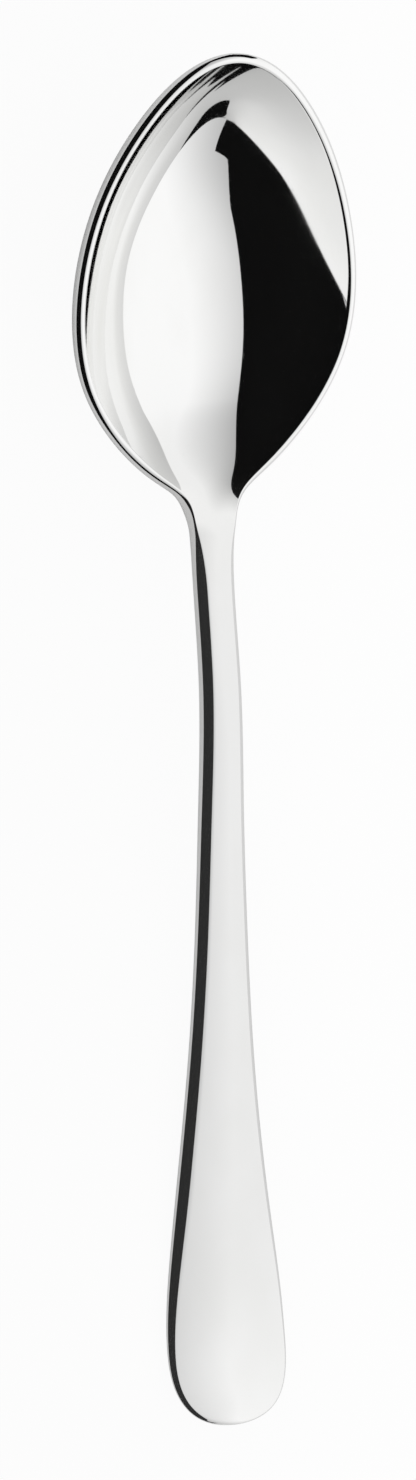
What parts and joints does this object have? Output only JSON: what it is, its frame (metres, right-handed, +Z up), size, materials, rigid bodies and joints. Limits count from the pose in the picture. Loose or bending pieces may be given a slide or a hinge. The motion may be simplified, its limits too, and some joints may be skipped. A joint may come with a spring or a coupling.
{
  "type": "coffee spoon",
  "caption": "Slim polished steel coffee spoon with an egg-shaped bowl, a narrow neck and a flat handle that widens to a rounded, slightly upturned end.",
  "frame": {"origin": "middle of the spoon's length and width, on the table that it lies on with the hollow up", "axes": "+Y along the spoon towards the tip of the bowl, +X to its right, +Z up out of the hollow"},
  "size_m": [0.0286, 0.1351, 0.015],
  "materials": {
    "steel": "mirror-polished stainless steel with faint polishing lines and fine wear"
  },
  "bodies": {
    "root": {"bowl": "steel", "neck": "steel", "stem": "steel", "grip": "steel"}
  },
  "joints": []
}
